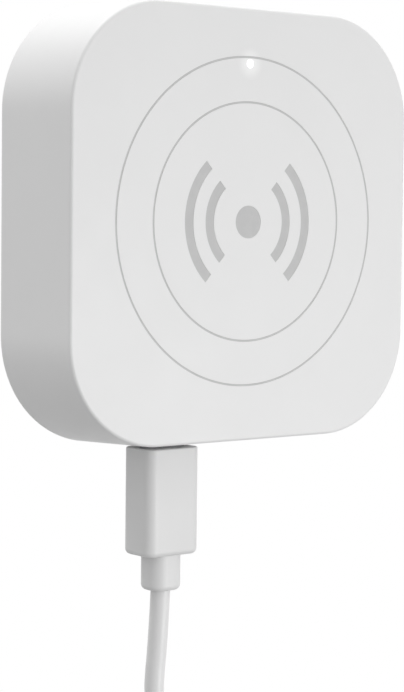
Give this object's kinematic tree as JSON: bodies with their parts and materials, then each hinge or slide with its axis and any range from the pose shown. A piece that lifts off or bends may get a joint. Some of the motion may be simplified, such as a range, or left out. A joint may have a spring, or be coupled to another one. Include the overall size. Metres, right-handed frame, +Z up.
{
  "type": "radar presence sensor",
  "caption": "Flat square wall sensor with rounded corners, concentric circles on its face, a status light at the top and a power cable plugged into its bottom wall.",
  "frame": {"origin": "centre of the adhesive pad's wall face", "axes": "+Y into the wall, so the face looks along -Y; +X to the right seen from the front; +Z up"},
  "size_m": [0.07, 0.0186, 0.2046],
  "materials": {
    "case_plastic": "satin moulded",
    "cover_plastic": "satin moulded",
    "button_plastic": "satin moulded",
    "pad_foam": "closed-cell foam with adhesive skin",
    "clear_plastic": "clear, polished tip",
    "board_resin": "solder mask",
    "chip_resin": "moulded",
    "led_lens": "moulded lens",
    "gold_contact": "gold plated",
    "tinned_metal": "tinned",
    "screw_steel": "zinc plated",
    "plug_metal": "nickel plated",
    "grip_plastic": "soft-touch moulded",
    "cord_plastic": "extruded sheath",
    "tie_fabric": "hook-and-loop strap"
  },
  "bodies": {
    "case": {"front_housing": "case_plastic", "rear_cover": "cover_plastic", "adhesive_pad": "pad_foam", "light_guide": "clear_plastic", "main_board": "board_resin", "board_screws": "screw_steel", "radar_board": "board_resin", "antenna_patches": "gold_contact", "radar_chip": "chip_resin", "header_strip": "chip_resin", "header_pins": "gold_contact", "radio_board": "board_resin", "shield_can": "tinned_metal", "status_led": "led_lens", "regulator": "chip_resin", "choke": "chip_resin", "capacitors": "chip_resin", "socket_shell": "tinned_metal", "socket_tongue": "chip_resin", "switch_body": "chip_resin", "plug_shell": "plug_metal", "plug_grip": "grip_plastic", "strain_relief": "grip_plastic", "cord": "cord_plastic", "cord_coil": "cord_plastic", "cord_tail": "cord_plastic", "cord_tie": "tie_fabric", "supply_relief": "grip_plastic", "supply_grip": "grip_plastic", "supply_shell": "plug_metal", "supply_insert": "chip_resin", "supply_contacts": "gold_contact"},
    "button": {"pairing_button": "button_plastic", "switch_plunger": "chip_resin"}
  },
  "joints": [
    {"name": "button_press", "type": "slide", "parent": "case", "child": "button", "axis": [-1, 0, 0], "range_m": [0, 0.0003], "stiffness_N_per_m": 500}
  ]
}
